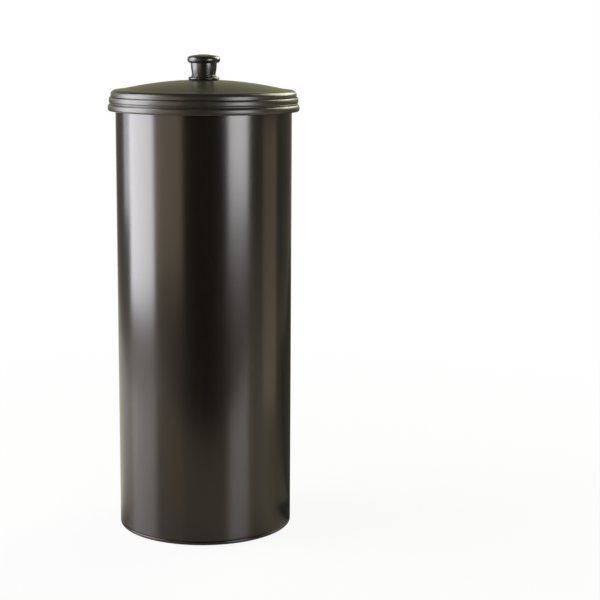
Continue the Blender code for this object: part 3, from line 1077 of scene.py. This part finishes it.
    def inner_corner(self, offset: float) -> Outline:
        """The round between the rim's inside and the dome's, or a line inside the wall.

        Args:
            offset: How far inside the wall the line lies.

        Returns:
            Its points.
        """
        centre_radius = self.rim_inner_radius - self.inner_corner_round
        under = self.on_sphere(self.sphere_radius - self.dome_wall, centre_radius)
        size = self.inner_corner_round + offset
        centre = (centre_radius, under - self.inner_corner_round)
        return arc(centre, (size, size), (0, 90), self.corner_steps)

    def rim_inside(self) -> Outline:
        """Inside of the rim, from the lip up, stepping in behind each band.

        Returns:
            Its points.
        """
        low_inner = self.lip_radius - self.lip_width
        middle_inner = self.valley_radius - self.band_wall
        low_step = self.low_peak + self.low_band_upper_height / 2 - self.inner_step_height / 2
        middle_step = self.middle_peak + self.middle_band_upper_height / 2 - self.inner_step_height / 2
        return [
            (low_inner, self.rim_bottom),
            (low_inner, low_step),
            (middle_inner, low_step + self.inner_step_height),
            (middle_inner, middle_step),
            (self.rim_inner_radius, middle_step + self.inner_step_height),
            *self.inner_corner(0),
        ]

    def outline(self) -> Outline:
        """Section from the screw hole out over the dome and bands, and back inside to the boss.

        Returns:
            Its points.
        """
        inner_sphere = self.sphere_radius - self.dome_wall
        corner = self.rim_inner_radius - self.inner_corner_round
        ring_bottom = self.seat - self.ring_depth
        dome = self.sphere_arc(
            self.sphere_radius, self.knob_seat_radius, self.dome_edge_radius, self.dome_steps
        )
        return [
            (self.screw_hole_radius, self.knob_seat),
            (self.knob_seat_radius, self.knob_seat),
            *dome[:-1],
            *self.bands(),
            *self.rim_inside(),
            *self.sphere_arc(inner_sphere, corner, self.ring_radius, self.dome_rim_steps)[1:],
            (self.ring_radius, ring_bottom + self.ring_lead_in),
            (self.ring_radius - self.ring_lead_in, ring_bottom),
            (self.ring_inner_radius, ring_bottom),
            *self.sphere_arc(
                inner_sphere, self.ring_inner_radius, self.boss_radius, self.dome_inner_steps
            ),
            (self.boss_radius, self.boss_bottom),
            (self.screw_hole_radius, self.boss_bottom),
        ]

    def rib_outline(self) -> Outline:
        """One rib between the locating ring and the rim, whose lower edge rests on the tube's mouth.

        Returns:
            Its points.
        """
        inner = self.ring_radius - JOIN_OVERLAP
        under = self.on_sphere(self.sphere_radius - self.dome_wall, inner)
        return [
            (inner, self.seat),
            (self.rim_inner_radius + JOIN_OVERLAP, self.seat),
            *self.inner_corner(JOIN_OVERLAP),
            (inner, under + JOIN_OVERLAP),
        ]

    def build(self, material: bpy.types.Material) -> None:
        """Turns the lid, adds its seat ribs and sets it in the frame.

        Args:
            material: The finish.
        """
        lid = Bench.turn("bronze_lid", self.outline(), LARGE_SEGMENTS)
        rib = Bench.plate("seat_rib", self.rib_outline(), self.rib_thickness)
        Bench.combine(lid, Bench.spread(rib, self.rib_count), Cut.JOIN)
        settle(lid, material, Body.LID, Slot.SATIN, "lid_shell")


@dataclass
class Knob:
    """The turned knob: collar, fine ring, swelling neck and bull-nosed cap."""

    bottom: float
    cap_radius: float
    bore_radius: float
    bore_depth: float
    collar_radius: float = 0.0129
    collar_height: float = 0.0027
    collar_nose: float = 0.0015
    ring_radius: float = 0.0104
    ring_height: float = 0.0013
    ring_nose: float = 0.0005
    neck_lower_radius: float = 0.0097
    neck_upper_radius: float = 0.0108
    neck_height: float = 0.0099
    cap_under_height: float = 0.0027
    cap_under_nose: float = 0.0024
    cap_upper_height: float = 0.0030
    cap_upper_nose: float = 0.0022
    crown_rise: float = 0.0014
    nose_steps: int = 10
    collar_steps: int = 20
    neck_steps: int = 14
    crown_steps: int = 8

    def __post_init__(self) -> None:
        """Works out the heights up the knob."""
        self.ring_bottom = self.bottom + self.collar_height
        self.neck_bottom = self.ring_bottom + self.ring_height
        self.neck_top = self.neck_bottom + self.neck_height
        self.cap_edge = self.neck_top + self.cap_under_height
        self.cap_shoulder = self.cap_edge + self.cap_upper_height

    def crown(self) -> Outline:
        """The cap's shallow crown, from the axis to its shoulder.

        Returns:
            Its points.
        """
        edge = self.cap_radius - self.cap_upper_nose
        shares = [step / self.crown_steps for step in range(self.crown_steps)]
        return [(edge * share, self.cap_shoulder + self.crown_rise * (1 - share**2)) for share in shares]

    def neck(self) -> Outline:
        """The neck, which swells fast above its ring and then runs nearly straight to the cap.

        Returns:
            Its points.
        """
        points = []
        for step in range(self.neck_steps + 1):
            drop = 1 - step / self.neck_steps
            swell = math.sin(math.radians(90) * drop)
            radius = self.neck_lower_radius + (self.neck_upper_radius - self.neck_lower_radius) * swell
            points.append((radius, self.neck_bottom + self.neck_height * drop))
        return points

    def outline(self) -> Outline:
        """Section from the crown down to the collar, and up the bore for the insert.

        Returns:
            Its points.
        """
        cap_tip = (self.cap_radius, self.cap_edge)
        upper = (self.cap_upper_nose, self.cap_upper_height)
        under = (self.cap_under_nose, self.cap_under_height)
        ring = (self.ring_nose, self.ring_height / 2)
        collar = (self.collar_nose, self.collar_height / 2)
        ring_tip = (self.ring_radius, self.ring_bottom + ring[1])
        collar_tip = (self.collar_radius, self.bottom + collar[1])
        bore_top = self.bottom + self.bore_depth
        return [
            *self.crown(),
            *nose(cap_tip, upper, (90, 0), self.nose_steps),
            *nose(cap_tip, under, (0, -90), self.nose_steps)[1:],
            *self.neck(),
            *nose(ring_tip, ring, (90, -90), self.nose_steps),
            *nose(collar_tip, collar, (90, -90), self.collar_steps),
            (self.bore_radius, self.bottom),
            (self.bore_radius, bore_top),
            (0, bore_top),
        ]

    def build(self, material: bpy.types.Material) -> None:
        """Turns the knob and sets it in the frame."""
        knob = Bench.turn("gloss_knob", self.outline(), KNOB_SEGMENTS, closed=False)
        settle(knob, material, Body.LID, Slot.GLOSS, "knob")


@dataclass
class KnobFixing:
    """What holds the knob: a knurled insert in it, and a screw and washer beneath the lid."""

    insert_bottom: float
    insert_top: float
    insert_radius: float
    washer_bottom: float
    washer_top: float
    washer_radius: float
    head_bottom: float
    head_radius: float
    screw_tip: float
    screw_radius: float = 0.0019
    screw_head_height: float = 0.0025
    head_side_height: float = 0.0010
    thread_depth: float = 0.0003
    thread_pitch: float = 0.0007
    tip_chamfer: float = 0.0005
    insert_groove_depth: float = 0.0005
    insert_groove_height: float = 0.0016
    knurl_depth: float = 0.00015
    knurl_margin: float = 0.00008
    recess_width: float = 0.0040
    recess_depth: float = 0.0016
    recess_slot: float = 0.0008
    recess_end_share: float = 1 / 3
    washer_edge: float = 0.0002
    pan_steps: int = 12
    insert_segments: int = 36

    @classmethod
    def from_frame(cls) -> "KnobFixing":
        """Takes the places of the insert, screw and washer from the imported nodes.

        Returns:
            Their sizes.
        """
        insert_low, insert_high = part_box("knob_insert")
        washer_low, washer_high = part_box("knob_washer")
        screw_low, screw_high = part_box("knob_screw")
        return cls(
            insert_bottom=insert_low.z,
            insert_top=insert_high.z,
            insert_radius=insert_high.x,
            washer_bottom=washer_low.z,
            washer_top=washer_high.z,
            washer_radius=washer_high.x,
            head_bottom=screw_low.z,
            head_radius=screw_high.x,
            screw_tip=screw_high.z,
        )

    @property
    def bearing(self) -> float:
        """Height of the face of the screw's head that bears on the washer."""
        return self.head_bottom + self.screw_head_height

    def shank(self) -> Outline:
        """The threaded shank, from its tip down to the head.

        Returns:
            Its points.
        """
        root = self.screw_radius - self.thread_depth
        start = self.screw_tip - self.tip_chamfer
        count = int((start - self.washer_top) / self.thread_pitch)
        points = [(0, self.screw_tip), (self.screw_radius - self.tip_chamfer, self.screw_tip)]
        for index in range(count):
            crest = start - self.thread_pitch * index
            points.append((self.screw_radius, crest))
            points.append((root, crest - self.thread_pitch / 2))
        points.append((self.screw_radius, start - self.thread_pitch * count))
        return [*points, (self.screw_radius, self.bearing)]

    def screw_outline(self) -> Outline:
        """The shank and the pan head.

        Returns:
            Its points.
        """
        side = self.bearing - self.head_side_height
        pan = self.screw_head_height - self.head_side_height
        return [
            *self.shank(),
            (self.head_radius, self.bearing),
            *arc((0, side), (self.head_radius, pan), (0, -90), self.pan_steps),
        ]

    def recess_outline(self) -> Outline:
        """One wing of the cross recess, which tapers into the head.

        Returns:
            Its points.
        """
        half = self.recess_width / 2
        bottom = self.head_bottom - CUT_OVERRUN
        top = self.head_bottom + self.recess_depth
        end = half * self.recess_end_share
        return [(-half, bottom), (half, bottom), (end, top), (-end, top)]

    def build_screw(self, material: bpy.types.Material) -> None:
        """Turns the screw and cuts its cross recess.

        Args:
            material: The finish.
        """
        screw = Bench.turn("cross_head_screw", self.screw_outline(), SMALL_SEGMENTS, closed=False)
        for angle in (0, 90):
            wing = Bench.plate("cross_recess", self.recess_outline(), self.recess_slot)
            wing.data.transform(Matrix.Rotation(math.radians(angle), 4, "Z"))
            Bench.combine(screw, wing, Cut.REMOVE)
        settle(screw, material, Body.LID, Slot.STEEL, "knob_screw")

    def build_washer(self, material: bpy.types.Material) -> None:
        """Turns the washer, with its edges eased.

        Args:
            material: The finish.
        """
        hole = self.screw_radius + SEAT_GAP
        edge = self.washer_edge
        outer = self.washer_radius - edge
        inner = hole + edge
        size = (edge, edge)
        outline = [
            *arc((outer, self.washer_top - edge), size, (90, 0), FINE_STEPS),
            *arc((outer, self.washer_bottom + edge), size, (0, -90), FINE_STEPS),
            *arc((inner, self.washer_bottom + edge), size, (-90, -180), FINE_STEPS),
            *arc((inner, self.washer_top - edge), size, (180, 90), FINE_STEPS),
        ]
        washer = Bench.turn("flat_washer", outline, SMALL_SEGMENTS)
        settle(washer, material, Body.LID, Slot.STEEL, "knob_washer")

    def build_insert(self, material: bpy.types.Material) -> None:
        """Turns the insert and raises a knurl on its two bands.

        Args:
            material: The finish.
        """
        body = self.insert_radius - self.knurl_depth
        waist = self.insert_radius - self.insert_groove_depth
        middle = (self.insert_bottom + self.insert_top) / 2
        half = self.insert_groove_height / 2
        bore = self.screw_radius + SEAT_GAP
        outline = [
            (body, self.insert_top),
            (body, middle + half),
            (waist, middle + half),
            (waist, middle - half),
            (body, middle - half),
            (body, self.insert_bottom),
            (bore, self.insert_bottom),
            (bore, self.insert_top),
        ]
        insert = Bench.turn("knurled_insert", outline, self.insert_segments)
        for face in insert.data.polygons:
            upright = abs(face.normal.z) < LEVEL_LIMIT
            face.select = upright and face.center.xy.length > (body + waist) / 2
        bpy.ops.object.mode_set(mode="EDIT")
        bpy.ops.mesh.select_mode(type="FACE")
        bpy.ops.mesh.inset(thickness=self.knurl_margin, depth=self.knurl_depth, use_individual=True)
        bpy.ops.object.mode_set(mode="OBJECT")
        settle(insert, material, Body.LID, Slot.BRASS, "knob_insert")


@dataclass(frozen=True)
class Softbox:
    """A soft lamp that stands upright and faces the canister's axis."""

    name: str
    bearing: float
    distance: float
    width: float
    bottom: float
    top: float
    radiance: float
    colour: Colour

    def hang(self) -> None:
        """Puts the lamp in its place. Its bearing is in degrees to the right of the camera's side."""
        height = self.top - self.bottom
        lamp = bpy.data.lights.new(self.name, "AREA")
        lamp.shape = "RECTANGLE"
        lamp.size = self.width
        lamp.size_y = height
        lamp.energy = self.radiance * math.pi * self.width * height
        lamp.color = self.colour
        angle = math.radians(self.bearing)
        middle = Vector((math.sin(angle), -math.cos(angle), 0)) * self.distance
        middle.z = (self.bottom + self.top) / 2
        stand = bpy.data.objects.new(self.name, lamp)
        stand.location = middle
        inward = Vector((-middle.x, -middle.y, 0))
        stand.rotation_euler = inward.to_track_quat("-Z", "Y").to_euler()
        stand.visible_camera = False
        bpy.context.scene.collection.objects.link(stand)


class FloorShading(Shading):
    """The floor's nodes, and where each of its points lies from the canister's axis."""

    def __init__(self, name: str) -> None:
        """Starts the floor's material and measures its points.

        Args:
            name: Name of the material.
        """
        super().__init__(name)
        length = self.node("ShaderNodeVectorMath", operation="LENGTH")
        self.join(self.place, length.inputs[0])
        self.reach = length.outputs["Value"]
        split = self.node("ShaderNodeSeparateXYZ")
        self.join(self.place, split.inputs["Vector"])
        self.across, self.depth, _ = split.outputs
        self.aim = self.maths("DIVIDE", self.depth, self.reach)
        self.side = self.maths("DIVIDE", self.across, self.reach)
        self.seen = self.camera_rays()
        self.in_gloss = self.background_rays()


@dataclass(frozen=True)
class PaleFloor:
    """A plain pale floor. In gloss it shows a painted reflection: a table top with painted light and
    painted shadow in a dimmer room, with white far behind.

    An aim is a point's depth as a share of its distance from the axis, and a side is how far
    across it lies, as a share of the same distance.
    """

    colour: Colour = (0.72, 0.70, 0.66)
    roughness: float = 0.33
    gloss: float = 0.45
    gloss_tint: Colour = (1.0, 0.96, 0.8)
    left_edge: Point = (-0.63, -0.52)
    right_edge: Point = (0.70, 0.82)
    front_edge: Point = (-0.48, -0.38)
    # Tones seen only in gloss, a painted reflection of a table top: painted shade over its middle, painted
    # light at the back and far right, painted shadow at the right corner and by the foot.
    painted_table_shade: Colour = (0.355, 0.302, 0.243)
    back_aim: Point = (0.0, 0.6)
    painted_back_light: Colour = (0.82, 0.79, 0.70)
    right_side: Point = (-0.1, 0.3)
    far_right_side: Point = (0.6, 1.0)
    painted_right_light: Colour = (0.68, 0.62, 0.54)
    painted_shadow_aim: Point = (-0.4, 0.45)
    painted_shadow_colour: Colour = (0.075, 0.07, 0.06)
    foot_shadow_depth: Point = (-0.045, -0.005)
    foot_shadow_reach: Point = (0.12, 0.2)
    # The room's floor beyond the table, in gloss only: a painted reflection that falls to black painted
    # shade in front.
    room_aim: Point = (-1.0, -0.4)
    room_side: Point = (0.2, 0.9)
    room_side_share: Point = (1.0, 0.45)
    painted_room_reflection: Colour = (0.76, 0.67, 0.54)
    white_share: float = 0.9
    white_reach: Point = (0.15, 0.8)
    backdrop_reach: Point = (0.6, 1.6)

    def table_share(self, work: FloorShading) -> Socket:
        """Where the table top lies, between its left, right and front edges.

        Args:
            work: The floor's nodes.

        Returns:
            Share of the table top.
        """
        return work.product(
            work.span(work.across, self.left_edge, RISE),
            work.span(work.across, self.right_edge, FALL),
            work.span(work.depth, self.front_edge, RISE),
        )

    def painted_shadow_share(self, work: FloorShading) -> Socket:
        """Where the painted shadow of the canister lies on the table: towards the back, and close by the
        canister's foot.

        Args:
            work: The floor's nodes.

        Returns:
            Share of the painted shadow.
        """
        # Painted shadow close by the canister's foot.
        foot = work.product(
            work.span(work.depth, self.foot_shadow_depth, RISE),
            work.span(work.reach, self.foot_shadow_reach, FALL),
        )
        return work.maths("MAXIMUM", work.span(work.aim, self.painted_shadow_aim, RISE), foot)

    def painted_table_tones(self, work: FloorShading, corner: Socket, right: Socket) -> Socket:
        """Painted reflection of the table top: painted shadow darkest at the right corner, and painted
        light lightest at the back on the left.

        Args:
            work: The floor's nodes.
            corner: Share of the painted shadow.
            right: Share of the right side.

        Returns:
            The colour.
        """
        far_right = work.span(work.side, self.far_right_side, RISE)
        front = work.blend(far_right, self.painted_table_shade, self.painted_right_light)
        back = work.blend(work.span(work.aim, self.back_aim, RISE), front, self.painted_back_light)
        return work.blend(right, back, work.blend(corner, front, self.painted_shadow_colour))

    def painted_room_tones(self, work: FloorShading) -> Socket:
        """Painted reflection of the room's floor beyond the table, falling to black painted shade in front.

        Args:
            work: The floor's nodes.

        Returns:
            The colour.
        """
        share = work.product(
            work.span(work.aim, self.room_aim, RISE),
            work.span(work.maths("ABSOLUTE", work.side), self.room_side, self.room_side_share),
        )
        return work.blend(share, BLACK, self.painted_room_reflection)

    def white_part(self, work: FloorShading) -> Socket:
        """Where the floor is plain white: further off in view, and at the backdrop in gloss.

        Args:
            work: The floor's nodes.

        Returns:
            Share of white.
        """
        shown = work.product(work.seen, work.span(work.reach, self.white_reach, (self.white_share, 1.0)))
        mirrored = work.product(
            work.in_gloss,
            work.span(work.reach, self.backdrop_reach, RISE),
            work.span(work.aim, BACKDROP_AIM, RISE),
        )
        return work.maths("ADD", shown, mirrored)

    def material(self) -> bpy.types.Material:
        """Builds the finish.

        Returns:
            The material.
        """
        work = FloorShading("pale_floor")
        work.shader.inputs["Roughness"].default_value = self.roughness
        work.shader.inputs["Specular Tint"].default_value = (*self.gloss_tint, 1)
        table = self.table_share(work)
        # Painted shadow of the canister on the table, seen only in gloss.
        corner = self.painted_shadow_share(work)
        right = work.span(work.side, self.right_side, RISE)
        # What gloss shows: a painted reflection of the lit and shaded table in a dim room.
        mirrored = work.blend(table, self.painted_room_tones(work), self.painted_table_tones(work, corner, right))
        work.join(work.blend(work.in_gloss, self.colour, mirrored), work.shader.inputs["Base Color"])
        # The floor's own gloss shows only in reflections, on the table, and is taken away under the painted
        # shadow at the right corner.
        polish = work.product(
            work.span(work.seen, RISE, (self.gloss, 0.0)),
            table,
            work.span(work.product(corner, right), RISE, FALL),
        )
        work.join(polish, work.shader.inputs["Specular IOR Level"])
        glow = work.node("ShaderNodeEmission")
        mixer = work.node("ShaderNodeMixShader")
        work.join(self.white_part(work), mixer.inputs["Fac"])
        work.join(work.shader.outputs["BSDF"], mixer.inputs[1])
        work.join(glow.outputs["Emission"], mixer.inputs[2])
        work.join(mixer.outputs["Shader"], work.tree.nodes["Material Output"].inputs["Surface"])
        return work.material


@dataclass(frozen=True)
class Room:
    """The world: an even fill on the canister, white behind it, and a dim room in its gloss."""

    fill: float = 0.25
    colour: Colour = (1.0, 1.0, 0.64)
    backdrop_rise: Point = (0.03, 0.0)
    rise_range: Point = (0.05, 0.6)
    rise_level: Point = (0.68, 0.13)
    depth_range: Point = (0.2, 0.8)
    depth_level: Point = (0.1, 1.0)
    side_range: Point = (-1.0, 1.0)
    side_level: Point = (0.8, 1.25)

    def light(self) -> None:
        """Surrounds the canister with the world."""
        world = bpy.data.worlds.new("studio")
        world.use_nodes = True
        bpy.context.scene.world = world
        desk = NodeDesk(world.node_tree)
        direction = desk.node("ShaderNodeSeparateXYZ")
        desk.join(desk.node("ShaderNodeTexCoord").outputs["Generated"], direction.inputs["Vector"])
        side, depth, rise = direction.outputs
        backdrop = desk.product(
            desk.span(rise, self.backdrop_rise, RISE),
            desk.span(depth, BACKDROP_AIM, RISE),
        )
        room = desk.product(
            desk.span(rise, self.rise_range, self.rise_level),
            desk.span(depth, self.depth_range, self.depth_level),
            desk.span(side, self.side_range, self.side_level),
        )
        in_gloss = desk.background_rays()
        level = desk.mix(in_gloss, self.fill, desk.mix(backdrop, room, 1.0))
        level = desk.mix(desk.camera_rays(), level, 1.0)
        dim = desk.product(in_gloss, desk.maths("SUBTRACT", 1.0, backdrop))
        background = world.node_tree.nodes["Background"]
        desk.join(level, background.inputs["Strength"])
        desk.join(desk.blend(dim, WHITE, self.colour), background.inputs["Color"])


@dataclass
class Studio:
    """Camera, floor, lamps and world."""

    camera_distance: float = 1.3046
    camera_height: float = 0.42166
    camera_yaw: float = -3.55
    camera_pitch: float = -9.925
    camera_roll: float = 0.37
    lens: float = 93.48
    sensor: float = 36.0
    floor_radius: float = 60.0
    floor_sides: int = 64
    floor_gap: float = 0.0001
    floor: PaleFloor = PaleFloor()
    room: Room = Room()
    softboxes: tuple[Softbox, ...] = (
        Softbox("left_softbox", -87.5, 0.9, 0.71, 0.04, 1.2, 6.5, COOL),
        Softbox("back_left_softbox", -115, 0.9, 0.25, 0.17, 0.9, 2.3, COOL),
        Softbox("right_softbox", 44, 1.8, 0.86, 0.08, 0.88, 5.8, COOL),
        Softbox("left_fill", -45, 1.2, 0.76, 0.03, 0.8, 0.9, WARM),
        Softbox("right_card", 89, 0.5, 0.22, 0.0, 0.33, 0.47, WARM),
        Softbox("back_right_softbox", 130, 1.2, 0.9, 0.62, 1.6, 6.6, PALE),
    )

    def set_camera(self) -> None:
        """Sets the camera at the photograph's viewing angle."""
        data = bpy.data.cameras.new("camera")
        data.lens = self.lens
        data.sensor_width = self.sensor
        camera = bpy.data.objects.new("camera", data)
        yaw = Matrix.Rotation(math.radians(self.camera_yaw), 4, "Z")
        pitch = Matrix.Rotation(math.radians(90 + self.camera_pitch), 4, "X")
        roll = Matrix.Rotation(math.radians(self.camera_roll), 4, "Z")
        place = Matrix.Translation((0, -self.camera_distance, self.camera_height))
        camera.matrix_world = place @ yaw @ pitch @ roll
        bpy.context.scene.collection.objects.link(camera)
        bpy.context.scene.camera = camera

    def lay_floor(self) -> None:
        """Lays the floor, a hair below the canister."""
        Bench.clear_selection()
        bpy.ops.mesh.primitive_circle_add(
            vertices=self.floor_sides,
            radius=self.floor_radius,
            fill_type="NGON",
            location=(0, 0, -self.floor_gap),
        )
        floor = bpy.context.object
        floor.name = "studio_floor"
        floor.data.materials.append(self.floor.material())

    def set_up(self) -> None:
        """Sets up the whole studio, with plain colour management."""
        bpy.context.scene.view_settings.view_transform = "Standard"
        self.set_camera()
        self.lay_floor()
        self.room.light()
        for softbox in self.softboxes:
            softbox.hang()


def main() -> None:
    """Builds the sub-assemblies in order and sets up the studio."""
    logging.basicConfig(level=logging.INFO, format="%(name)s: %(message)s")
    tube_finish = TUBE_LACQUER.material()
    steel = SCREW_ZINC.material()
    tube = Tube.from_frame()
    tube.build(tube_finish)
    BaseCap.from_frame(tube).build(tube_finish)
    FootPads.from_frame().build(PAD_RUBBER.material())
    LidShell.from_frame(tube).build(LID_LACQUER.material())
    knob_low, knob_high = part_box("knob")
    fixing = KnobFixing.from_frame()
    bore_radius = fixing.insert_radius + SEAT_GAP
    bore_depth = fixing.insert_top + SEAT_GAP - knob_low.z
    Knob(knob_low.z, knob_high.x, bore_radius, bore_depth).build(KNOB_LACQUER.material())
    fixing.build_insert(INSERT_BRASS.material())
    fixing.build_screw(steel)
    fixing.build_washer(steel)
    Studio().set_up()


if __name__ == "__main__":
    main()
